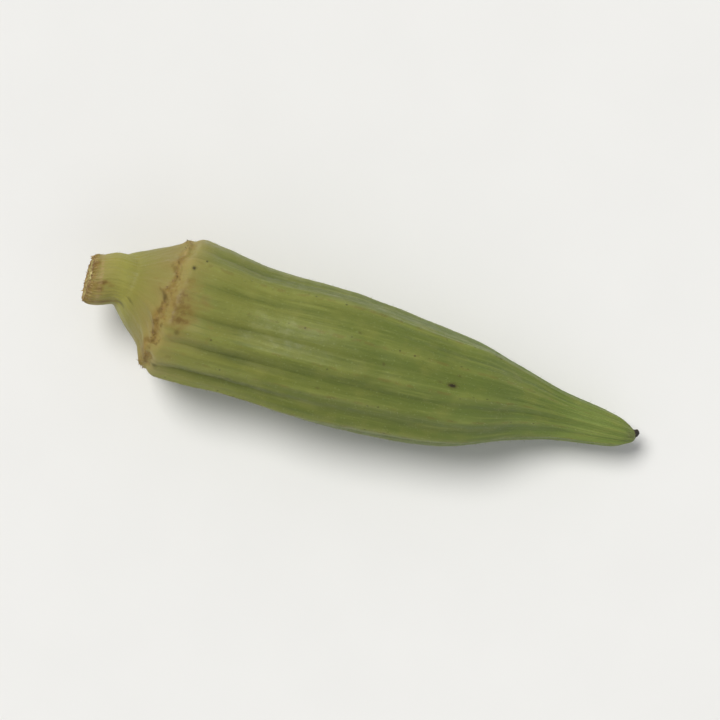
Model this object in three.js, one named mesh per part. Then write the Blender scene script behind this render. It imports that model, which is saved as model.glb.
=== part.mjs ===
// An okra pod, picked with a short stub of its stalk and lying on its side.
// It is one piece, as it grew: the cut stalk, the receptacle that flares from it, the scar where
// the calyx fell off, the ribbed pod and its beaked tip.
// Millimetres, +Z up. The stalk points to -X and the tip to +X, the pod lies on z = 0, and the
// origin is under the middle of its outline.
import * as THREE from "three";

// Driving dimensions. x runs along the pod, from the middle of the stalk's cut face to the tip.
const POD_LENGTH = 93.3;
const STALK_RADIUS = 4.4;
const NECK_X = 4.8; // the stalk begins to flare about here
const NECK_DELAY = 2.4; // further on by this on one side, and as much sooner on the other
const NECK_TURN = THREE.MathUtils.degToRad(-20); // the later side, from straight up towards -Y
const NECK_REACH = 4; // length over which the delay dies away
const SCAR_X = 13.2; // the scar rings the wide end of the receptacle
const SCAR_RADIUS = 10.9;
const BODY_RADIUS = 12.2; // over the main ribs, at the shoulder
const BEAK_RADIUS = 1.4;

// How the pod lies: flat on its belly between these two, rising from there to either end.
const BELLY_FROM = 20;
const BELLY_TO = 52;
const BELLY_REACH = 0.94; // the lowest ribs stand this share of the radius below the axis
const BELLY_SINK = 0.3; // how far the ribs are pressed flat
const STALK_LIFT = 1.7;
const TIP_LIFT = 4.2;

// Radius over the main ribs, and the sideways sweep of the axis, as [x, value] knots.
const RADIUS = [
  [0, 0.95 * STALK_RADIUS],
  [NECK_X, 0.99 * STALK_RADIUS],
  [6.8, 5.7],
  [8.5, 6.9],
  [11.2, 8.9],
  [SCAR_X, SCAR_RADIUS],
  [15.9, BODY_RADIUS],
  [28, 0.935 * BODY_RADIUS],
  [40, 0.96 * BODY_RADIUS],
  [50, 0.908 * BODY_RADIUS],
  [60, 0.828 * BODY_RADIUS],
  [64, 0.77 * BODY_RADIUS],
  [72, 0.54 * BODY_RADIUS],
  [80, 0.347 * BODY_RADIUS],
  [90, 0.21 * BODY_RADIUS],
  [92.3, BEAK_RADIUS],
  [POD_LENGTH, 0.45 * BEAK_RADIUS],
];
const SWEEP = [
  [0, 0.7],
  [4.5, 1.9],
  [6.8, 1.75],
  [11.2, 1.1],
  [SCAR_X, 0.1],
  [17, -0.25],
  [28, -0.75],
  [45, -1.1],
  [60, -1.1],
  [75, 0],
  [84, 0.1],
  [POD_LENGTH, 0.1],
];
// Which way the sections face, in degrees from +X towards +Y.
const HEADING = [
  [0, 13],
  [4, 10],
  [8.5, -1],
  [SCAR_X, -6],
  [25, -3.5],
  [56, 0],
  [70, 4],
  [POD_LENGTH, 1],
];

// Ribs: five main ones with five lesser ones between them. Sharp grooves part them behind the
// scar, and further along these open into soft hollows.
const RIBS = 10;
const RIB_DEPTH = 0.068; // groove depth over most of the pod, as a share of the radius
const DEEPER = 0.2; // the grooves are this much deeper round one place
const DEEPEST = THREE.MathUtils.degToRad(32); // which is this far from straight up, towards -Y
const SHALLOWER = 0.7; // and this much shallower round another
const SHALLOWEST = THREE.MathUtils.degToRad(-28);
const LESSER_RIB = 0.5; // height of a lesser rib against a main one
const RIB_ROUNDNESS = 1.8; // 1 is flat-sided, 2 is a round lobe
const RIB_START = 0.15; // what is left of the ribs on the stalk and receptacle
const RIB_RISE = 6.5; // length behind the scar over which they reach full height
const SOFT_FROM = 16;
const SOFT_TO = 36;
const SOFTNESS = 0.8; // how far the sharp grooves have opened by then
const FIRST_RIB = THREE.MathUtils.degToRad(24); // from straight up, towards -Y
const RIB_DRIFT = THREE.MathUtils.degToRad(16); // the ribs stand closer on top than underneath
const TWIST = THREE.MathUtils.degToRad(-26); // from stalk to tip

// The scar: a raised, scalloped lip with a crease behind it.
const LIP_HEIGHT = 0.28;
const LIP_WIDTH = 0.45;
const CREASE_DEPTH = 0.2;
const CREASE_SHIFT = 1.15;
const SCALLOP = 0.4;
const SCALLOP_REACH = 2.2;

// The cut face of the stalk: slanted, with a dished pith.
const CUT_SLANT = Math.tan(THREE.MathUtils.degToRad(11.5));
const CUT_TURN = THREE.MathUtils.degToRad(-75); // the side cut back furthest, from straight up
const PITH_DISH = 0.6;

const COLUMNS_PER_RIB = 6;
const MIDDLE = new THREE.Vector3(46.247, -0.213, 0); // middle of the outline, which becomes the origin

// A smooth curve through knots, with no overshoot between them.
function along(knots, x) {
  const last = knots.length - 1;
  if (x <= knots[0][0]) return knots[0][1];
  if (x >= knots[last][0]) return knots[last][1];
  const rise = (k) => (knots[k + 1][1] - knots[k][1]) / (knots[k + 1][0] - knots[k][0]);
  const slope = (k) => {
    if (k === 0) return rise(0);
    if (k === last) return rise(last - 1);
    const before = rise(k - 1);
    const after = rise(k);
    return before * after <= 0 ? 0 : (2 * before * after) / (before + after);
  };
  const k = knots.findIndex(([at]) => at > x) - 1;
  const width = knots[k + 1][0] - knots[k][0];
  const t = (x - knots[k][0]) / width;
  return (
    knots[k][1] * (1 + 2 * t) * (1 - t) ** 2 +
    knots[k + 1][1] * (3 - 2 * t) * t ** 2 +
    slope(k) * width * t * (1 - t) ** 2 -
    slope(k + 1) * width * t ** 2 * (1 - t)
  );
}

const bump = (distance, width) => Math.exp(-((distance / width) ** 2));

// 1 at the angle place, falling to nothing some 60 degrees to either side of it.
const near = (angle, place) => Math.exp((Math.cos(angle - place) - 1) / 0.15);

// The pod's axis, level with the belly's contact in the middle and lifted at both ends.
function axis(x) {
  const belly = BELLY_REACH * along(RADIUS, Math.max(x, BELLY_FROM)) - BELLY_SINK;
  const toStalk = Math.max(0, 1 - x / BELLY_FROM);
  const toTip = Math.max(0, (x - BELLY_TO) / (POD_LENGTH - BELLY_TO));
  const height = belly + STALK_LIFT * toStalk ** 2 + TIP_LIFT * toTip ** 2;
  return new THREE.Vector3(x, along(SWEEP, x), height);
}

// Unit vectors across the pod at x: one up and one towards -Y.
function across(x) {
  const step = 0.5;
  const rise = (axis(x + step).z - axis(x - step).z) / (2 * step);
  const turn = THREE.MathUtils.degToRad(along(HEADING, x));
  const forward = new THREE.Vector3(Math.cos(turn), Math.sin(turn), rise).normalize();
  const side = forward.clone().cross(new THREE.Vector3(0, 0, 1)).normalize();
  return { up: side.clone().cross(forward), side };
}

// Ribs are counted by rib = 0 to RIBS: whole numbers are crests and halves are grooves.
function ribAngle(rib, x) {
  const turn = (2 * Math.PI * rib) / RIBS;
  return FIRST_RIB + turn - RIB_DRIFT * Math.sin(turn) + (TWIST * x) / POD_LENGTH;
}

// The radius at x and rib, as a share of the radius over the main ribs.
function ribShare(x, rib) {
  const fromCrest = 2 * Math.abs(rib - Math.round(rib));
  const mainness = 0.5 + 0.5 * Math.cos(Math.PI * rib);
  const crest = LESSER_RIB + (1 - LESSER_RIB) * mainness;
  const lobe = 1 - fromCrest ** RIB_ROUNDNESS;
  const wave = 0.5 + 0.5 * Math.cos(Math.PI * fromCrest);
  const soft = SOFTNESS * THREE.MathUtils.smoothstep(x, SOFT_FROM, SOFT_TO);
  const height = crest * THREE.MathUtils.lerp(lobe, wave, soft);
  const risen = RIB_START + (1 - RIB_START) * THREE.MathUtils.smoothstep(x, SCAR_X, SCAR_X + RIB_RISE);
  const angle = ribAngle(rib, x);
  const depth = RIB_DEPTH * (1 + DEEPER * near(angle, DEEPEST) - SHALLOWER * near(angle, SHALLOWEST));
  return 1 - depth * risen * (1 - height);
}

// A point of the surface. face below 1 moves it over the cut face, towards the pith.
function surfacePoint(x, rib, face = 1) {
  const angle = ribAngle(rib, x);
  const uneven = 1 + 0.012 * Math.sin(0.21 * x + 2 * angle) + 0.008 * Math.sin(0.13 * x - 3 * angle);
  const lip = LIP_HEIGHT * bump(x - SCAR_X, LIP_WIDTH);
  const crease = CREASE_DEPTH * bump(x - SCAR_X - CREASE_SHIFT, LIP_WIDTH);
  const delay = NECK_DELAY * bump(x - NECK_X - 2, NECK_REACH) * Math.cos(angle - NECK_TURN);
  const radius = face * (along(RADIUS, x - delay) * ribShare(x, rib) * uneven + lip - crease);

  const slant = CUT_SLANT * Math.max(0, 1 - x / NECK_X) ** 2 * radius * Math.cos(angle - CUT_TURN);
  const wave = 0.7 * Math.cos(2 * Math.PI * rib) + 0.3 * Math.cos(4 * Math.PI * rib);
  const scallop = SCALLOP * bump(x - SCAR_X, SCALLOP_REACH) * wave;
  const dish = PITH_DISH * (1 - face ** 2);

  const { up, side } = across(x);
  const forward = new THREE.Vector3().crossVectors(up, side);
  const point = axis(x)
    .addScaledVector(up, radius * Math.cos(angle))
    .addScaledVector(side, radius * Math.sin(angle))
    .addScaledVector(forward, slant - scallop + dish);
  point.z = Math.max(point.z, 0); // pressed flat where it lies
  return point.sub(MIDDLE);
}

// Stations of the rings of vertices: [x, face]. They stand closer round the neck, scar and tip.
function stations() {
  const rings = [[0, 0.4], [0, 0.75], [0, 0.95]];
  const stretches = [
    [0.3, NECK_X - 1, 5],
    [NECK_X - 1, SCAR_X - 0.9, 9],
    [SCAR_X - 0.9, SCAR_X + 2.1, 9],
    [SCAR_X + 2.1, BELLY_FROM, 3],
    [BELLY_FROM, 88, 29],
    [88, POD_LENGTH - 0.4, 6],
  ];
  for (const [from, to, steps] of stretches) {
    for (let i = 0; i < steps; i++) rings.push([from + ((to - from) * i) / steps, 1]);
  }
  rings.push([POD_LENGTH - 0.4, 1]);
  return rings;
}

function podGeometry() {
  const columns = RIBS * COLUMNS_PER_RIB;
  const rings = stations();
  const points = [surfacePoint(0, 0, 0)];
  for (const [x, face] of rings) {
    for (let column = 0; column < columns; column++) {
      points.push(surfacePoint(x, column / COLUMNS_PER_RIB, face));
    }
  }
  points.push(axis(POD_LENGTH).sub(MIDDLE));

  const at = (ring, column) => 1 + ring * columns + (column % columns);
  const faces = [];
  for (let column = 0; column < columns; column++) {
    faces.push(0, at(0, column + 1), at(0, column));
    faces.push(points.length - 1, at(rings.length - 1, column), at(rings.length - 1, column + 1));
    for (let ring = 0; ring + 1 < rings.length; ring++) {
      faces.push(at(ring, column), at(ring + 1, column + 1), at(ring + 1, column));
      faces.push(at(ring, column), at(ring, column + 1), at(ring + 1, column + 1));
    }
  }
  const geometry = new THREE.BufferGeometry().setFromPoints(points);
  geometry.setIndex(faces);
  geometry.computeVertexNormals();
  return geometry;
}

const pod = new THREE.Mesh(
  podGeometry(),
  new THREE.MeshStandardMaterial({ color: 0x8f9a58, roughness: 0.55, metalness: 0 }),
);
pod.name = "okra_pod";

const okra = new THREE.Group();
okra.add(pod);

export default okra;
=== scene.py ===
"""An okra pod lying on a pale floor: fine ribbed skin, cut stalk, calyx scar, dried tip and down."""

import math

import bpy
import numpy as np
from mathutils import Matrix, Vector


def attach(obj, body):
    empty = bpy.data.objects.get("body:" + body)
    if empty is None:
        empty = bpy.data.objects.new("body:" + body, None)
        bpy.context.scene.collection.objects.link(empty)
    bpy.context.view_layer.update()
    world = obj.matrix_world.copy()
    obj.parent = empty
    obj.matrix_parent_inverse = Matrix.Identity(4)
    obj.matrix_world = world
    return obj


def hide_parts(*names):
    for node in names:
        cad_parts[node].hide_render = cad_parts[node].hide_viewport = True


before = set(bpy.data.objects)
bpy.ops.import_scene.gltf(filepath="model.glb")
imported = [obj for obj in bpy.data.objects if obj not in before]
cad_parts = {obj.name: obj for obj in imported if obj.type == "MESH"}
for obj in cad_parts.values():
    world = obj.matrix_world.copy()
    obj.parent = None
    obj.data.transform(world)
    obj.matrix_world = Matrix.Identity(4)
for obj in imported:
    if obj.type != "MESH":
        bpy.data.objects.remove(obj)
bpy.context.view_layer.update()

MM = 0.001
NODE = "okra_pod"

# ---------------------------------------------------------------------------------------------
# The pod's form: the same dimensions and formulas as its solid, in millimetres.
# x runs along the pod, from the middle of the stalk's cut face to the tip.
# ---------------------------------------------------------------------------------------------
POD_LENGTH = 93.3
STALK_RADIUS = 4.4
NECK_X = 4.8
NECK_DELAY = 2.4
NECK_TURN = math.radians(-20)
NECK_REACH = 4
SCAR_X = 13.2
SCAR_RADIUS = 10.9
BODY_RADIUS = 12.2
BEAK_RADIUS = 1.4

BELLY_FROM = 20
BELLY_TO = 52
BELLY_REACH = 0.94
BELLY_SINK = 0.3
STALK_LIFT = 1.7
TIP_LIFT = 4.2

RADIUS = [
    [0, 0.95 * STALK_RADIUS],
    [NECK_X, 0.99 * STALK_RADIUS],
    [6.8, 5.7],
    [8.5, 6.9],
    [11.2, 8.9],
    [SCAR_X, SCAR_RADIUS],
    [15.9, BODY_RADIUS],
    [28, 0.935 * BODY_RADIUS],
    [40, 0.96 * BODY_RADIUS],
    [50, 0.908 * BODY_RADIUS],
    [60, 0.828 * BODY_RADIUS],
    [64, 0.77 * BODY_RADIUS],
    [72, 0.54 * BODY_RADIUS],
    [80, 0.347 * BODY_RADIUS],
    [90, 0.21 * BODY_RADIUS],
    [92.3, BEAK_RADIUS],
    [POD_LENGTH, 0.45 * BEAK_RADIUS],
]
SWEEP = [
    [0, 0.7],
    [4.5, 1.9],
    [6.8, 1.75],
    [11.2, 1.1],
    [SCAR_X, 0.1],
    [17, -0.25],
    [28, -0.75],
    [45, -1.1],
    [60, -1.1],
    [75, 0],
    [84, 0.1],
    [POD_LENGTH, 0.1],
]
# Which way the sections face, in degrees from +X towards +Y.
HEADING = [
    [0, 13],
    [4, 10],
    [8.5, -1],
    [SCAR_X, -6],
    [25, -3.5],
    [56, 0],
    [70, 4],
    [POD_LENGTH, 1],
]

RIBS = 10
RIB_DEPTH = 0.068
DEEPER = 0.2
DEEPEST = math.radians(32)
SHALLOWER = 0.7
SHALLOWEST = math.radians(-28)
LESSER_RIB = 0.5
RIB_ROUNDNESS = 1.8
RIB_START = 0.15
RIB_RISE = 6.5
SOFT_FROM = 16
SOFT_TO = 36
SOFTNESS = 0.8
FIRST_RIB = math.radians(24)
RIB_DRIFT = math.radians(16)
TWIST = math.radians(-26)

LIP_HEIGHT = 0.28
LIP_WIDTH = 0.45
CREASE_DEPTH = 0.2
CREASE_SHIFT = 1.15
SCALLOP = 0.4
SCALLOP_REACH = 2.2

CUT_SLANT = math.tan(math.radians(11.5))
CUT_TURN = math.radians(-75)
PITH_DISH = 0.6

MIDDLE = np.array([46.247, -0.213, 0])


def along(knots, x):
    """A smooth curve through knots, with no overshoot between them."""
    at, value = np.array(knots, float).T
    rise = np.diff(value) / np.diff(at)
    before, after = rise[:-1], rise[1:]
    same_way = before * after > 0
    inner = np.where(same_way, 2 * before * after / np.where(same_way, before + after, 1), 0)
    slope = np.concatenate([rise[:1], inner, rise[-1:]])
    x = np.clip(x, at[0], at[-1])
    k = np.clip(np.searchsorted(at, x, side="right") - 1, 0, len(at) - 2)
    width = at[k + 1] - at[k]
    t = (x - at[k]) / width
    return (
        value[k] * (1 + 2 * t) * (1 - t) ** 2
        + value[k + 1] * (3 - 2 * t) * t**2
        + slope[k] * width * t * (1 - t) ** 2
        - slope[k + 1] * width * t**2 * (1 - t)
    )


def bump(distance, width):
    """1 at no distance, dying away over width."""
    return np.exp(-((distance / width) ** 2))


def smoothstep(x, low, high):
    t = np.clip((x - low) / (high - low), 0, 1)
    return t * t * (3 - 2 * t)


def unit(vectors):
    return vectors / np.linalg.norm(vectors, axis=-1, keepdims=True)


def axis(x):
    """The pod's axis, level over the belly and lifted at both ends."""
    belly = BELLY_REACH * along(RADIUS, np.maximum(x, BELLY_FROM)) - BELLY_SINK
    to_stalk = np.maximum(0, 1 - x / BELLY_FROM)
    to_tip = np.maximum(0, (x - BELLY_TO) / (POD_LENGTH - BELLY_TO))
    height = belly + STALK_LIFT * to_stalk**2 + TIP_LIFT * to_tip**2
    return np.stack([x, along(SWEEP, x), height], -1)


def across(x):
    """Unit vectors at x: up and to -Y across the pod, and forward along it."""
    step = 0.5
    rise = (axis(x + step)[..., 2] - axis(x - step)[..., 2]) / (2 * step)
    turn = np.radians(along(HEADING, x))
    forward = unit(np.stack([np.cos(turn), np.sin(turn), rise], -1))
    side = unit(np.cross(forward, [0.0, 0.0, 1.0]))
    return np.cross(side, forward), side, forward


def rib_angle(rib, x):
    """Angle from straight up. Whole numbers of rib are crests and halves are grooves."""
    turn = 2 * np.pi * rib / RIBS
    return FIRST_RIB + turn - RIB_DRIFT * np.sin(turn) + TWIST * x / POD_LENGTH


def near(angle, place):
    """1 at the angle place, falling to nothing some 60 degrees to either side of it."""
    return np.exp((np.cos(angle - place) - 1) / 0.15)


def groove_depth(x, rib):
    """Depth of the grooves at x and rib, as a share of the radius."""
    angle = rib_angle(rib, x)
    return RIB_DEPTH * (1 + DEEPER * near(angle, DEEPEST) - SHALLOWER * near(angle, SHALLOWEST))


def rib_share(x, rib):
    """The radius at x and rib, as a share of the radius over the main ribs."""
    from_crest = 2 * np.abs(rib - np.round(rib))
    mainness = 0.5 + 0.5 * np.cos(np.pi * rib)
    crest = LESSER_RIB + (1 - LESSER_RIB) * mainness
    lobe = 1 - from_crest**RIB_ROUNDNESS
    wave = 0.5 + 0.5 * np.cos(np.pi * from_crest)
    soft = SOFTNESS * smoothstep(x, SOFT_FROM, SOFT_TO)
    height = crest * (lobe + (wave - lobe) * soft)
    risen = RIB_START + (1 - RIB_START) * smoothstep(x, SCAR_X, SCAR_X + RIB_RISE)
    return 1 - groove_depth(x, rib) * risen * (1 - height)


# ---------------------------------------------------------------------------------------------
# Fine relief, in millimetres, which the solid leaves out.
# ---------------------------------------------------------------------------------------------
def rumple(places, wavelength, seed, waves=28):
    """Smooth noise of about -1 to 1 at places, as a sum of waves in seeded directions."""
    draw = np.random.default_rng(seed)
    total = 0
    for _ in range(waves):
        direction = unit(draw.normal(size=3))
        length = wavelength * draw.uniform(0.7, 1.4)
        total = total + np.sin(places @ direction * 2 * np.pi / length + draw.uniform(0, 2 * np.pi))
    return total / math.sqrt(waves)


STREAK_STRETCH = 0.06  # lengthwise features are this much shorter in the streaks' noise
STALK_BEND = 0.5  # the stalk leans over by this near the cut
STALK_BEND_TURN = math.radians(80)  # towards this side, from straight up
RIM_SHRINK = 0.4  # the cut's rim has dried in by this


def skin_places(x, rib):
    """Noise coordinates over the skin that meet round the pod, even and stretched along the ribs."""
    round_x = 12 * np.cos(rib_angle(rib, 0))
    round_y = 12 * np.sin(rib_angle(rib, 0))
    even = np.stack([round_x, round_y, x], -1)
    stretched = np.stack([round_x, round_y, STREAK_STRETCH * x], -1)
    return even, stretched


def groove_strength(x, rib):
    """How marked the groove is at x and rib: up to 1, fading to the scar and along the pod."""
    share = groove_depth(x, rib) / (RIB_DEPTH * (1 + DEEPER))
    return share * (0.25 + 0.75 * smoothstep(x, 17, 26)) * (1 - 0.78 * smoothstep(x, 28, 42))


def relief(x, rib):
    """Height of the skin's fine relief over the plain form."""
    even, stretched = skin_places(x, rib)
    from_crest = 2 * np.abs(rib - np.round(rib))
    mainness = 0.5 + 0.5 * np.cos(np.pi * rib)
    size = along(RADIUS, x) / BODY_RADIUS

    on_body = smoothstep(x, SCAR_X + 1, SCAR_X + 5)
    on_stalk = 1 - smoothstep(x, NECK_X - 1, NECK_X + 3)
    dents = 0.10 * rumple(even, 15, 1) + 0.045 * rumple(even, 5, 2)
    fibres = (0.035 - 0.01 * on_stalk) * rumple(stretched, 1.5, 3)
    veins = 0.05 * on_body * rumple(stretched, 3.4, 4)
    keel = 0.08 * on_body * (0.4 + 0.6 * mainness) * bump(from_crest, 0.2)
    seam = -0.06 * on_body * bump(1 - from_crest, 0.09) * groove_strength(x, rib)
    rim = 0.12 * bump(x, 0.7) * rumple(stretched, 1.3, 5) - RIM_SHRINK * bump(x, 0.45)
    bent = STALK_BEND * bump(x - 2, 1.8) * np.cos(rib_angle(rib, x) - STALK_BEND_TURN)
    pores = 0.012 * rumple(even, 0.9, 6)
    return size * (dents + veins + keel + seam) + fibres + rim + bent + pores


def scar_relief(x, rib):
    """The calyx's ragged scar: its lip is torn and its crease is pitted."""
    even, _ = skin_places(x, rib)
    torn = rumple(even * [1, 1, 0.5], 1.6, 7)
    return 0.11 * torn * bump(x - SCAR_X + 0.1, 0.55) - 0.08 * bump(x - SCAR_X - 0.8, 0.3)


def surface(x, rib, face=1.0):
    """Points of the skin in the shared frame, in mm. face below 1 goes over the cut face."""
    angle = rib_angle(rib, x)
    uneven = 1 + 0.012 * np.sin(0.21 * x + 2 * angle) + 0.008 * np.sin(0.13 * x - 3 * angle)
    lip = LIP_HEIGHT * bump(x - SCAR_X, LIP_WIDTH)
    crease = CREASE_DEPTH * bump(x - SCAR_X - CREASE_SHIFT, LIP_WIDTH)
    delay = NECK_DELAY * bump(x - NECK_X - 2, NECK_REACH) * np.cos(angle - NECK_TURN)
    radius = along(RADIUS, x - delay) * rib_share(x, rib) * uneven + lip - crease
    radius = face * (radius + relief(x, rib) + scar_relief(x, rib))

    slant = CUT_SLANT * np.maximum(0, 1 - x / NECK_X) ** 2 * radius * np.cos(angle - CUT_TURN)
    wave = 0.7 * np.cos(2 * np.pi * rib) + 0.3 * np.cos(4 * np.pi * rib)
    scallop = SCALLOP * bump(x - SCAR_X, SCALLOP_REACH) * wave
    dish = PITH_DISH * (1 - np.square(face))

    up, side, forward = across(x)
    point = (
        axis(x)
        + (radius * np.cos(angle))[..., None] * up
        + (radius * np.sin(angle))[..., None] * side
        + (slant - scallop + dish)[..., None] * forward
    )
    point[..., 2] = np.maximum(point[..., 2], 0)
    return point - MIDDLE


# ---------------------------------------------------------------------------------------------
# Mesh helpers
# ---------------------------------------------------------------------------------------------
def make_piece(name, vertices, faces, material, attributes=None, smooth=True):
    """A mesh object from vertices in millimetres, riding on the part and standing for its node."""
    mesh = bpy.data.meshes.new(name)
    mesh.from_pydata((np.asarray(vertices) * MM).tolist(), [], [list(map(int, f)) for f in faces])
    for key, values in (attributes or {}).items():
        values = np.asarray(values, np.float32)
        if values.ndim == 1:
            mesh.attributes.new(key, "FLOAT", "POINT").data.foreach_set("value", values)
        else:
            mesh.attributes.new(key, "FLOAT_VECTOR", "POINT").data.foreach_set("vector", values.ravel())
    if smooth:
        mesh.shade_smooth()
    mesh.materials.append(material)
    mesh.validate()
    piece = bpy.data.objects.new(name, mesh)
    bpy.context.scene.collection.objects.link(piece)
    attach(piece, "root")
    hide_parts(NODE)
    return piece


def tube_faces(rows, columns):
    """Quads between rows of vertices that close round the pod, facing out."""
    faces = []
    for row in range(rows - 1):
        for column in range(columns):
            near = row * columns + column
            beside = row * columns + (column + 1) % columns
            faces.append((near, beside, beside + columns, near + columns))
    return faces


# ---------------------------------------------------------------------------------------------
# Material helpers
# ---------------------------------------------------------------------------------------------
def srgb(red, green, blue):
    """A linear colour from 0 to 255 display values."""
    def linear(value):
        value = value / 255
        return value / 12.92 if value <= 0.04045 else ((value + 0.055) / 1.055) ** 2.4

    return (linear(red), linear(green), linear(blue), 1)


class Shader:
    """A material's node tree, with one short call for each kind of node."""

    def __init__(self, name):
        self.material = bpy.data.materials.new(name)
        self.material.use_nodes = True
        self.tree = self.material.node_tree
        self.principled = self.tree.nodes["Principled BSDF"]

    def add(self, kind, inputs, **settings):
        made = self.tree.nodes.new("ShaderNode" + kind)
        for key, value in settings.items():
            setattr(made, key, value)
        self.feed(made, inputs)
        return made

    def feed(self, made, inputs):
        for key, value in inputs.items():
            if isinstance(value, bpy.types.NodeSocket):
                self.tree.links.new(value, made.inputs[key])
            else:
                made.inputs[key].default_value = value

    def surface(self, **inputs):
        self.feed(self.principled, {key.replace("_", " "): value for key, value in inputs.items()})

    def value(self, name):
        return self.add("Attribute", {}, attribute_name=name).outputs["Fac"]

    def vector(self, name):
        return self.add("Attribute", {}, attribute_name=name).outputs["Vector"]

    def noise(self, vector, scale, detail=2.0, roughness=0.5):
        inputs = {"Vector": vector, "Scale": scale, "Detail": detail, "Roughness": roughness}
        return self.add("TexNoise", inputs).outputs["Fac"]

    def cells(self, vector, scale, output="Distance"):
        return self.add("TexVoronoi", {"Vector": vector, "Scale": scale}).outputs[output]

    def math(self, operation, first, second=0.0):
        return self.add("Math", {0: first, 1: second}, operation=operation).outputs[0]

    def times(self, *factors):
        total = factors[0]
        for factor in factors[1:]:
            total = self.math("MULTIPLY", total, factor)
        return total

    def ease(self, value, low, high, to_low=0.0, to_high=1.0):
        """value from low to high eased to to_low to to_high. low may be the larger."""
        if low > high:
            low, high, to_low, to_high = high, low, to_high, to_low
        inputs = {"Value": value, "From Min": low, "From Max": high, "To Min": to_low, "To Max": to_high}
        return self.add("MapRange", inputs, interpolation_type="SMOOTHSTEP").outputs["Result"]

    def mix(self, amount, first, second, blend="MIX"):
        made = self.add("Mix", {}, data_type="RGBA", blend_type=blend, clamp_factor=True)
        for socket, value in ((made.inputs[0], amount), (made.inputs[6], first), (made.inputs[7], second)):
            if isinstance(value, bpy.types.NodeSocket):
                self.tree.links.new(value, socket)
            else:
                socket.default_value = value
        return made.outputs[2]

    def ramp(self, value, stops):
        made = self.add("ValToRGB", {"Fac": value})
        elements = made.color_ramp.elements
        while len(elements) < len(stops):
            elements.new(1.0)
        for element, (position, colour) in zip(elements, stops):
            element.position = position
            element.color = colour
        return made.outputs["Color"]

    def bump(self, height, distance_mm, strength=1.0, normal=None):
        inputs = {"Height": height, "Distance": distance_mm * MM, "Strength": strength}
        if normal is not None:
            inputs["Normal"] = normal
        return self.add("Bump", inputs).outputs["Normal"]


# ---------------------------------------------------------------------------------------------
# The skin's material
# ---------------------------------------------------------------------------------------------
# Colour along the pod, as [x in mm, colour].
SKIN_COLOURS = [
    [0, srgb(151, 133, 77)],
    [2.5, srgb(151, 142, 73)],
    [5.5, srgb(150, 146, 69)],
    [8, srgb(133, 127, 60)],
    [11.5, srgb(136, 123, 63)],
    [14, srgb(153, 136, 76)],
    [16, srgb(144, 135, 72)],
    [20, srgb(124, 126, 57)],
    [34, srgb(110, 116, 47)],
    [56, srgb(99, 111, 45)],
    [80, srgb(104, 121, 54)],
    [91.5, srgb(118, 134, 62)],
    [POD_LENGTH, srgb(110, 120, 56)],
]
BAND_DARK = srgb(84, 98, 34)
STREAK_LIGHT = srgb(139, 146, 72)
STREAK_DARK = srgb(76, 90, 30)
CLOUD_LIGHT = srgb(134, 134, 64)
CREST_HIGHLIGHT = srgb(142, 148, 74)
# Painted highlight along the ribs' crests.
RIB_BROWN = srgb(112, 98, 44)
# Painted shade in the grooves.
GROOVE_SHADE = srgb(58, 70, 20)
RUST = srgb(128, 101, 42)
DARK_RUST = srgb(84, 64, 20)
SPECK_BROWN = srgb(76, 70, 28)
SPECK_DARK = srgb(42, 36, 18)
DRY_TAN = srgb(166, 142, 94)
PALE_DOT = srgb(150, 160, 100)


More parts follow.
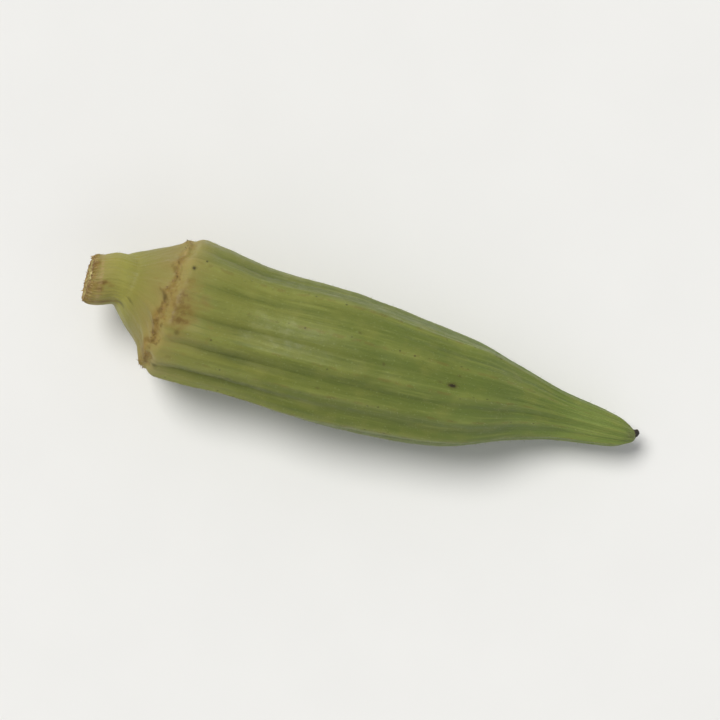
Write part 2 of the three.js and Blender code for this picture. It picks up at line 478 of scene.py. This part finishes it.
def skin_material():
    shader = Shader("okra_skin")
    station = shader.value("station")
    even = shader.vector("even")
    stretched = shader.vector("stretched")
    crest = shader.value("crest")
    scar = shader.value("scar")
    groove = shader.value("groove")
    smudge = shader.value("smudge")
    browned = shader.value("browned")
    blemish = shader.value("blemish")

    drift = shader.ease(shader.noise(even, 0.12), 0.3, 0.7, -5, 5)
    drift = shader.math("ADD", station, shader.times(drift, shader.ease(station, SCAR_X, 30)))
    along_pod = shader.math("DIVIDE", drift, POD_LENGTH)
    colour = shader.ramp(along_pod, [(x / POD_LENGTH, shade) for x, shade in SKIN_COLOURS])

    # Broad bands and fine streaks run along the pod, over soft clouds. The stalk has fewer.
    on_body = shader.ease(station, SCAR_X + 1, SCAR_X + 5)
    strength = shader.ease(station, SCAR_X - 2, SCAR_X + 6, 0.3, 1)
    bands = shader.noise(stretched, 0.35, 2)
    streaks = shader.noise(stretched, 1.5, 4, 0.6)
    clouds = shader.noise(even, 0.3, 3)
    colour = shader.mix(shader.times(shader.ease(bands, 0.35, 0.7, 0, 0.4), strength), colour, BAND_DARK)
    light_streaks = shader.ease(streaks, 0.5, 0.72, 0, 0.4)
    dark_streaks = shader.ease(streaks, 0.48, 0.3, 0, 0.4)
    colour = shader.mix(shader.times(light_streaks, strength), colour, STREAK_LIGHT)
    colour = shader.mix(shader.times(dark_streaks, strength), colour, STREAK_DARK)
    colour = shader.mix(shader.ease(clouds, 0.45, 0.75, 0, 0.3), colour, CLOUD_LIGHT)

    # Painted highlight along the ribs' crests and painted shade in the grooves, both changing slowly along
    # their length.
    broken = shader.noise(even, 0.16, 2)
    crest_highlight_breakup = shader.ease(broken, 0.35, 0.65, 0.1, 0.4)
    crest_highlight = shader.times(shader.ease(crest, 0.45, 0.02), on_body, crest_highlight_breakup)
    groove_shade_breakup = shader.ease(broken, 0.35, 0.65, 0.6, 0.35)
    groove_shade = shader.times(groove, on_body, groove_shade_breakup)
    colour = shader.mix(crest_highlight, colour, CREST_HIGHLIGHT)
    colour = shader.mix(groove_shade, colour, GROOVE_SHADE)

    # The crests are rubbed brown in places, with dark points where bristles broke off.
    patches = shader.ease(shader.noise(even, 0.5, 4), 0.48, 0.62)
    rubbed = shader.times(shader.ease(crest, 0.16, 0.04), on_body, patches)
    colour = shader.mix(shader.times(rubbed, 0.4), colour, RIB_BROWN)
    points = shader.ease(shader.cells(even, 0.9), 0.2, 0.12)
    points = shader.times(points, shader.ease(crest, 0.3, 0.1), on_body)
    colour = shader.mix(shader.times(points, shader.ease(broken, 0.42, 0.56, 0, 0.6)), colour, SPECK_DARK)

    # Pale pores where the down stands.
    pores = shader.times(shader.ease(shader.cells(even, 1.1), 0.22, 0.1), on_body)
    colour = shader.mix(shader.times(pores, 0.2), colour, PALE_DOT)

    # Rust gathers at the scar, behind it and at the cut.
    ragged = shader.noise(even, 1.0, 4, 0.65)
    fine = shader.noise(even, 2.6, 3, 0.6)
    wander = shader.ease(shader.noise(even, 0.35, 3), 0.3, 0.7, -0.45, 0.45)
    edge = shader.math("ADD", scar, wander)
    lip = shader.ease(shader.math("ABSOLUTE", shader.math("SUBTRACT", edge, 0.3)), 0.6, 0.1)
    colour = shader.mix(shader.times(lip, shader.ease(fine, 0.42, 0.58), 0.6), colour, DRY_TAN)
    near_scar = shader.ease(shader.math("ABSOLUTE", shader.math("SUBTRACT", edge, 0.3)), 2.4, 0.1)
    dusted = shader.times(near_scar, near_scar, shader.ease(ragged, 0.4, 0.66), browned, 0.6)
    colour = shader.mix(dusted, colour, RUST)
    line = shader.ease(shader.math("ABSOLUTE", shader.math("ADD", edge, 0.15)), 0.95, 0.1)
    gaps = shader.ease(shader.noise(even, 0.75, 4, 0.7), 0.42, 0.62)
    colour = shader.mix(shader.times(line, browned, 0.6), colour, RUST)
    colour = shader.mix(shader.times(line, line, gaps, browned, 0.6), colour, DARK_RUST)
    second_line = shader.ease(shader.math("ABSOLUTE", shader.math("SUBTRACT", edge, 1.0)), 0.34, 0.08)
    second_spots = shader.times(second_line, shader.ease(ragged, 0.5, 0.66), browned, 0.5)
    colour = shader.mix(second_spots, colour, DARK_RUST)

    smudged = shader.times(smudge, shader.ease(ragged, 0.35, 0.6, 0.65, 1))
    colour = shader.mix(shader.times(smudged, 0.85), colour, RUST)
    colour = shader.mix(shader.ease(smudged, 0.5, 1.1, 0, 0.5), colour, DARK_RUST)
    scorched = shader.times(shader.ease(station, 1.9, 0.2), shader.ease(ragged, 0.36, 0.56))
    colour = shader.mix(shader.times(scorched, 0.65), colour, RUST)
    dried = shader.ease(shader.math("ABSOLUTE", shader.math("SUBTRACT", station, 1.6)), 0.5, 0.1)
    colour = shader.mix(shader.times(dried, shader.ease(ragged, 0.38, 0.6), 0.6), colour, DRY_TAN)
    burnt = shader.times(shader.ease(station, 1.6, 0.4), shader.ease(fine, 0.56, 0.64))
    colour = shader.mix(shader.times(burnt, 0.6), colour, DARK_RUST)

    # Small dark specks: a few placed ones and a thin scatter.
    colour = shader.mix(blemish, colour, SPECK_BROWN)
    colour = shader.mix(shader.ease(blemish, 0.5, 1), colour, SPECK_DARK)
    seeds = shader.add("TexVoronoi", {"Vector": even, "Scale": 0.3})
    chosen = shader.add("SeparateColor", {"Color": seeds.outputs["Color"]}).outputs
    reach = shader.ease(chosen[1], 0.0, 1.0, 0.03, 0.08)
    inside = shader.math("LESS_THAN", seeds.outputs["Distance"], reach)
    specks = shader.times(inside, shader.math("GREATER_THAN", chosen[0], 0.76))
    colour = shader.mix(shader.times(specks, 0.7), colour, SPECK_DARK)

    roughness = shader.ease(shader.noise(even, 0.8, 3), 0.3, 0.7, 0.44, 0.6)
    roughness = shader.math("MAXIMUM", roughness, shader.times(near_scar, 0.8))
    grain = shader.bump(shader.noise(even, 4.5, 3, 0.6), 0.05, 0.5)
    normal = shader.bump(shader.noise(stretched, 3.0, 4, 0.6), 0.08, shader.times(strength, 0.6), grain)
    shader.surface(Base_Color=colour, Roughness=roughness, Normal=normal)
    shader.principled.inputs["Subsurface Weight"].default_value = 0.12
    shader.principled.inputs["Subsurface Radius"].default_value = (0.9, 1.0, 0.35)
    shader.principled.inputs["Subsurface Scale"].default_value = 0.9 * MM
    shader.principled.inputs["Specular IOR Level"].default_value = 0.32
    shader.principled.inputs["Sheen Weight"].default_value = 0.04
    shader.principled.inputs["Sheen Roughness"].default_value = 0.45
    shader.principled.inputs["Sheen Tint"].default_value = srgb(225, 232, 200)
    return shader.material


def plain_dry_material(name, light, dark, scale):
    """Dried plant tissue: two tones broken up by noise, rough all over."""
    shader = Shader(name)
    place = shader.add("TexCoord", {}).outputs["Object"]
    patches = shader.noise(place, scale, 4, 0.65)
    colour = shader.mix(shader.ease(patches, 0.4, 0.6), light, dark)
    shader.surface(Base_Color=colour, Normal=shader.bump(patches, 0.1, 0.7))
    shader.principled.inputs["Roughness"].default_value = 0.8
    return shader.material


def cut_material():
    """The cut face: a dry brown rim, a ring of dark strands and a pale, spongy pith."""
    shader = Shader("okra_cut")
    face = shader.value("face")
    flat = shader.vector("flat")
    ragged = shader.noise(flat, 0.9, 4, 0.65)
    wobble = shader.math("ADD", face, shader.ease(ragged, 0.3, 0.7, -0.07, 0.07))
    colour = shader.ramp(
        wobble,
        [
            (0, srgb(198, 186, 136)),
            (0.5, srgb(186, 174, 118)),
            (0.64, srgb(142, 124, 74)),
            (0.72, srgb(168, 158, 96)),
            (0.84, srgb(158, 140, 88)),
            (0.93, srgb(136, 110, 64)),
            (1.0, srgb(112, 86, 48)),
        ],
    )
    strands = shader.cells(flat, 1.25)
    on_ring = shader.ease(shader.math("ABSOLUTE", shader.math("SUBTRACT", face, 0.68)), 0.16, 0.04)
    dark_strands = shader.times(on_ring, shader.ease(strands, 0.4, 0.22), 0.8)
    colour = shader.mix(dark_strands, colour, srgb(84, 58, 30))
    stain = shader.ease(shader.noise(flat, 0.45, 3), 0.5, 0.72, 0, 0.6)
    colour = shader.mix(stain, colour, srgb(134, 102, 60))
    sponge = shader.cells(flat, 3.6)
    normal = shader.bump(sponge, 0.12, 0.8, shader.bump(ragged, 0.25, 0.8))
    shader.surface(Base_Color=colour, Normal=normal)
    shader.principled.inputs["Roughness"].default_value = 0.82
    return shader.material


def hair_material():
    shader = Shader("okra_down")
    tip = shader.value("tip")
    shader.surface(Base_Color=shader.mix(tip, srgb(132, 142, 74), srgb(176, 182, 128)))
    shader.principled.inputs["Roughness"].default_value = 0.4
    shader.principled.inputs["Transmission Weight"].default_value = 0.25
    return shader.material


# ---------------------------------------------------------------------------------------------
# The skin
# ---------------------------------------------------------------------------------------------
# Rows of the skin's mesh, as [from x, to x, steps]: closer at the cut, the scar and the tip.
SKIN_ROWS = [
    [0, 1.6, 10],
    [1.6, NECK_X, 14],
    [NECK_X, SCAR_X - 1.2, 24],
    [SCAR_X - 1.2, SCAR_X + 2.2, 34],
    [SCAR_X + 2.2, 26, 34],
    [26, 78, 124],
    [78, 90, 40],
    [90, POD_LENGTH, 16],
]
SKIN_COLUMNS = 320
SKIN_END = 0.25  # the skin comes to a point this far past its last row

BROWNEST = math.radians(20)  # the side on which the scar is brownest, from straight up
# Marks on the upper side, as [x, degrees from straight up, half length, half width, strength].
SMUDGES = [
    [16.5, 2, 2.4, 3.2, 0.85],
    [16.1, -7, 1, 1.2, 0.95],
    [16.8, 12, 2, 0.8, 1],
    [2.4, 66, 2.3, 0.35, 0.9],
    [1.9, 17, 1.1, 0.35, 1.2],
    [1.7, 32, 0.5, 0.5, 1.2],
    [0.4, -27, 0.6, 0.6, 1.1],
    [3.3, 23, 0.5, 0.3, 0.5],
]
BLEMISHES = [
    [13.1, -1, 0.5, 0.7, 0.5],
    [5.6, 62, 0.7, 0.25, 0.6],
    [7.4, 38, 0.7, 0.25, 0.5],
    [15.9, -31, 0.42, 0.42, 0.85],
    [17.2, 22, 0.3, 0.3, 0.5],
    [15.3, 62, 0.5, 0.45, 0.6],
    [27, 52, 0.25, 0.25, 0.6],
    [41, 33, 0.22, 0.22, 0.6],
    [44.5, -22, 0.2, 0.2, 0.6],
    [49.5, -3, 0.3, 0.3, 0.6],
    [59, -2, 0.3, 0.25, 0.6],
    [61, -1.5, 0.7, 0.45, 0.95],
]


def skin_attributes(x, rib):
    angle = rib_angle(rib, x)
    even, stretched = skin_places(x, rib)
    size = along(RADIUS, x)
    from_crest = 2 * np.abs(rib - np.round(rib))
    ragged = 1 + 0.15 * rumple(even, 1.1, 13) + 0.2 * rumple(even, 3, 14)

    def marked(marks, soft):
        cover = np.zeros_like(x)
        for mark_x, degrees, half_length, half_width, strength in marks:
            round_way = (angle - math.radians(degrees) + np.pi) % (2 * np.pi) - np.pi
            away = ragged * np.hypot((x - mark_x) / half_length, size * round_way / half_width)
            cover = np.maximum(cover, strength * (1 - smoothstep(away, 1 - soft, 1 + soft)))
        return cover

    return {
        "station": x,
        "even": even,
        "stretched": stretched,
        "crest": from_crest,
        # How strongly painted shade darkens the grooves.
        "groove": smoothstep(from_crest, 0.4, 1) ** 1.5 * groove_strength(x, rib),
        "scar": x - SCAR_X,
        "smudge": marked(SMUDGES, 0.85),
        "browned": 0.3 + 0.7 * smoothstep(np.cos(angle - BROWNEST), 0.3, 1),
        "blemish": marked(BLEMISHES, 0.7),
    }


def build_skin():
    rows = [np.linspace(low, high, steps, endpoint=False) for low, high, steps in SKIN_ROWS]
    rows = np.concatenate(rows + [[POD_LENGTH]])
    x, rib = np.meshgrid(rows, np.arange(SKIN_COLUMNS) * RIBS / SKIN_COLUMNS, indexing="ij")
    x, rib = x.ravel(), rib.ravel()
    vertices = surface(x, rib)
    faces = tube_faces(len(rows), SKIN_COLUMNS)
    end = len(vertices)
    tip = axis(np.array([POD_LENGTH + SKIN_END])) - MIDDLE
    last = end - SKIN_COLUMNS
    faces += [(last + c, last + (c + 1) % SKIN_COLUMNS, end) for c in range(SKIN_COLUMNS)]
    vertices = np.vstack([vertices, tip])
    attributes = skin_attributes(np.append(x, POD_LENGTH), np.append(rib, 0))
    return make_piece("okra_skin", vertices, faces, skin_material(), attributes)


def build_cut_face():
    """The stalk's cut face, from the pith out to the skin's edge."""
    columns, rows = 160, 30
    face, rib = np.meshgrid(
        np.linspace(0.03, 1.0, rows), np.arange(columns) * RIBS / columns, indexing="ij"
    )
    face, rib = face.ravel(), rib.ravel()
    x = np.zeros_like(face)
    angle = rib_angle(rib, x)
    flat = np.stack([face * STALK_RADIUS * np.cos(angle), face * STALK_RADIUS * np.sin(angle), x], -1)
    rough = 0.10 * rumple(flat, 1.1, 11) + 0.07 * rumple(flat, 0.5, 12)
    strands = 0.22 * bump(face - 0.7, 0.08) * (0.5 + 0.5 * np.sin(22 * angle + 2 * np.sin(3 * angle)))
    rim = 0.25 * bump(face - 0.93, 0.06)
    lift = (rough + strands + rim) * smoothstep(1 - face, 0, 0.05)
    _, _, forward = across(x)
    vertices = surface(x, rib, face) - lift[:, None] * forward
    faces = tube_faces(rows, columns)
    centre = len(vertices)
    faces += [(centre, (c + 1) % columns, c) for c in range(columns)]
    vertices = np.vstack([vertices, vertices[:columns].mean(0)])
    attributes = {"face": np.append(face, 0), "flat": np.vstack([flat, [0, 0, 0]])}
    return make_piece("okra_cut_face", vertices, faces, cut_material(), attributes)


# ---------------------------------------------------------------------------------------------
# Small things that stand on the skin
# ---------------------------------------------------------------------------------------------
def stand(x, rib):
    """Points on the skin with the unit vectors there: outwards, to the tip and across."""
    here = surface(x, rib)
    ahead = surface(x + 0.25, rib) - surface(x - 0.25, rib)
    round_way = surface(x, rib + 0.03) - surface(x, rib - 0.03)
    ahead = unit(ahead)
    out = unit(np.cross(round_way, ahead))
    return here, out, ahead, np.cross(out, ahead)


def spikes(root, direction, across_way, length, width, thickness, sides=3):
    """Closed tapering spikes: vertices and faces of one for each root."""
    direction = unit(direction)
    third = unit(np.cross(direction, across_way))
    second = np.cross(third, direction)
    vertices, faces = [], []
    turns = np.arange(sides) * 2 * np.pi / sides
    for i in range(len(root)):
        first = len(vertices)
        for turn in turns:
            offset = width[i] * math.cos(turn) * second[i] + thickness[i] * math.sin(turn) * third[i]
            vertices.append(root[i] + offset)
        vertices.append(root[i] + direction[i] * length[i])
        for side in range(sides):
            faces.append((first + side, first + (side + 1) % sides, first + sides))
        faces.append(tuple(first + side for side in reversed(range(sides))))
    return np.array(vertices), faces


HAIRS = 5200
BRISTLES = 260
BALD_BELOW = 0.6  # none stand lower than this, under the belly
TATTERS = 210
FIBRES = 130


def build_down():
    """Short pale hairs all over the skin, and a few longer bristles along the ribs."""
    draw = np.random.default_rng(21)
    x = draw.uniform(1.5, POD_LENGTH - 1.5, 3 * HAIRS)
    keep = draw.uniform(0, 1, len(x)) < along(RADIUS, x) / BODY_RADIUS
    x = x[keep][:HAIRS]
    rib = draw.uniform(0, RIBS, len(x))
    x = np.concatenate([x, draw.uniform(SCAR_X + 4, POD_LENGTH - 4, BRISTLES)])
    rib = np.concatenate([rib, draw.integers(0, RIBS, BRISTLES) + draw.normal(0, 0.03, BRISTLES)])
    here, out, ahead, sideways = stand(x, rib)
    count = len(x)
    is_bristle = np.arange(count) >= count - BRISTLES
    lean = draw.normal(0.55, 0.3, count)
    sway = draw.normal(0, 0.3, count)
    direction = out + lean[:, None] * ahead + sway[:, None] * sideways
    length = np.where(is_bristle, draw.uniform(0.35, 0.7, count), draw.uniform(0.2, 0.42, count))
    width = np.where(is_bristle, 0.03, 0.015)
    clear = here[:, 2] > BALD_BELOW
    picked = [v[clear] for v in (here - 0.03 * out, direction, sideways, length, width, width)]
    vertices, faces = spikes(*picked)
    attributes = {"tip": np.tile([0, 0, 0, 1.0], clear.sum())}
    return make_piece("okra_down", vertices, faces, hair_material(), attributes, smooth=False)


def build_scar_tatters():
    """Dry tatters of the calyx that stand round the scar."""
    draw = np.random.default_rng(5)
    rib = np.sort(draw.uniform(0, RIBS, TATTERS))
    x = SCAR_X + draw.normal(-0.05, 0.14, TATTERS)
    here, out, ahead, sideways = stand(x, rib)
    lean = draw.normal(-0.3, 0.8, TATTERS)
    sway = draw.normal(0, 1.1, TATTERS)
    direction = 0.6 * out + lean[:, None] * ahead + sway[:, None] * sideways
    length = draw.gamma(2.6, 0.11, TATTERS) + 0.1
    width = draw.uniform(0.07, 0.2, TATTERS)
    thickness = draw.uniform(0.04, 0.09, TATTERS)
    vertices, faces = spikes(here - 0.1 * out, direction, sideways, length, width, thickness, 5)
    vertices[:, 2] = np.maximum(vertices[:, 2], 0.02)
    material = plain_dry_material("okra_scar", srgb(150, 122, 78), DARK_RUST, 700)
    return make_piece("okra_scar_tatters", vertices, faces, material, smooth=False)


def build_stalk_fibres():
    """Torn fibres round the rim of the cut."""
    draw = np.random.default_rng(9)
    rib = np.sort(draw.uniform(0, RIBS, FIBRES))
    x = draw.uniform(0.02, 0.7, FIBRES)
    here, out, ahead, sideways = stand(x, rib)
    outward = draw.uniform(0.1, 0.7, FIBRES)
    sway = draw.normal(0, 0.35, FIBRES)
    direction = -ahead + outward[:, None] * out + sway[:, None] * sideways
    length = draw.gamma(3.0, 0.11, FIBRES) + 0.15
    width = draw.uniform(0.06, 0.2, FIBRES)
    thickness = draw.uniform(0.04, 0.08, FIBRES)
    vertices, faces = spikes(here - 0.08 * out, direction, sideways, length, width, thickness, 4)
    material = plain_dry_material("okra_fibre", srgb(176, 150, 98), srgb(120, 92, 52), 900)
    return make_piece("okra_stalk_fibres", vertices, faces, material, smooth=False)


STYLE_LENGTH = 1.75
STYLE_LEAN = 0.45  # its end leans over by this


def build_style():
    """The dried stub of the style at the very tip: a short, bent, wrinkled nub."""
    rows, columns = 16, 18
    t, turn = np.meshgrid(np.linspace(0, 1, rows), np.arange(columns) * 2 * np.pi / columns, indexing="ij")
    t, turn = t.ravel(), turn.ravel()
    start = np.array([POD_LENGTH - 1])
    up, side, forward = (v[0] for v in across(start))
    base = axis(start) - MIDDLE + 0.1 * up - 0.35 * side
    spine = base + (STYLE_LENGTH * t)[:, None] * forward - (STYLE_LEAN * t)[:, None] * side
    radius = along([[0, 0.7], [0.5, 0.7], [0.8, 0.5], [0.95, 0.26], [1, 0.05]], t)
    radius = radius * (1 + 0.12 * np.sin(5 * turn + 3 * t) + 0.08 * np.sin(11 * t))
    vertices = spine + (radius * np.cos(turn))[:, None] * up + (radius * np.sin(turn))[:, None] * side
    faces = tube_faces(rows, columns)
    faces.append(tuple(range(columns))[::-1])
    faces.append(tuple(range(len(vertices) - columns, len(vertices))))
    material = plain_dry_material("okra_style", srgb(72, 60, 46), srgb(30, 26, 22), 1500)
    return make_piece("okra_style", vertices, faces, material)


# ---------------------------------------------------------------------------------------------
# Floor, light and camera
# ---------------------------------------------------------------------------------------------
FLOOR_REACH = 3.0  # metres from the middle to each side
FLOOR_LEVEL = -0.01 * MM


def build_floor():
    size, level = FLOOR_REACH, FLOOR_LEVEL
    mesh = bpy.data.meshes.new("floor")
    corners = [(-size, -size, level), (size, -size, level), (size, size, level), (-size, size, level)]
    mesh.from_pydata(corners, [], [(0, 1, 2, 3)])
    shader = Shader("floor")
    grain = shader.noise(shader.add("TexCoord", {}).outputs["Object"], 60, 2)
    shader.surface(Base_Color=shader.mix(grain, srgb(228, 228, 226), srgb(232, 232, 230)))
    shader.principled.inputs["Roughness"].default_value = 0.75
    mesh.materials.append(shader.material)
    floor = bpy.data.objects.new("floor", mesh)
    bpy.context.scene.collection.objects.link(floor)


def look_at(thing, target, up):
    """Turns a camera or light at its place to look at target, with up upwards in its view."""
    back = (thing.location - target).normalized()
    right = up.cross(back).normalized()
    turned = Matrix((right, back.cross(right), back)).transposed()
    thing.rotation_euler = turned.to_euler()


POD_TILT = math.radians(15.7)  # in the picture the tip points this far below the horizontal
PICTURE_RIGHT = Vector((math.cos(POD_TILT), math.sin(POD_TILT), 0))
PICTURE_UP = Vector((-math.sin(POD_TILT), math.cos(POD_TILT), 0))
OFF_VERTICAL = math.radians(4)
TARGET = Vector((0, 0, 10)) * MM
LENS_MM = 150
PICTURE_WIDTH = 118 * MM  # what the picture spans at the target


def build_camera():
    camera = bpy.data.objects.new("camera", bpy.data.cameras.new("camera"))
    bpy.context.scene.collection.objects.link(camera)
    camera.data.lens = LENS_MM
    distance = PICTURE_WIDTH * LENS_MM / camera.data.sensor_width
    away = Vector((0, 0, math.cos(OFF_VERTICAL))) - PICTURE_UP * math.sin(OFF_VERTICAL)
    camera.location = TARGET + away * distance
    camera.data.clip_start = 0.01
    camera.data.clip_end = 20
    look_at(camera, TARGET, PICTURE_UP)
    bpy.context.scene.camera = camera


def build_light(name, place, spread, strength, colour):
    """A far light that shines from the direction of place, spread degrees wide."""
    data = bpy.data.lights.new(name, "SUN")
    data.angle = math.radians(spread)
    data.energy = strength
    data.color = colour
    light = bpy.data.objects.new(name, data)
    light.location = place
    bpy.context.scene.collection.objects.link(light)
    look_at(light, TARGET, Vector((0.1, 0.2, 1)))


def build_lighting():
    above = Vector((0, 0, 1))
    build_light("key", PICTURE_UP * 0.6 - PICTURE_RIGHT * 0.6 + above * 1.6, 30, 2.5, (1, 0.985, 0.955))
    build_light("fill", -PICTURE_UP * 1.25 + PICTURE_RIGHT * 0.9 + above, 60, 0.32, (0.96, 0.98, 1))
    world = bpy.data.worlds.new("studio")
    world.use_nodes = True
    tree = world.node_tree
    direction = tree.nodes.new("ShaderNodeTexCoord")
    split = tree.nodes.new("ShaderNodeSeparateXYZ")
    sky = tree.nodes.new("ShaderNodeValToRGB")
    sky.color_ramp.elements[0].position = 0.02
    sky.color_ramp.elements[0].color = (0.88, 0.88, 0.87, 1)
    sky.color_ramp.elements[1].position = 0.4
    sky.color_ramp.elements[1].color = (0.31, 0.312, 0.32, 1)
    tree.links.new(direction.outputs["Generated"], split.inputs["Vector"])
    tree.links.new(split.outputs["Z"], sky.inputs["Fac"])
    tree.links.new(sky.outputs["Color"], tree.nodes["Background"].inputs["Color"])
    bpy.context.scene.world = world
    bpy.context.scene.view_settings.view_transform = "Standard"


build_camera()
build_lighting()
build_floor()
build_skin()
build_cut_face()
build_scar_tatters()
build_stalk_fibres()
build_style()
build_down()
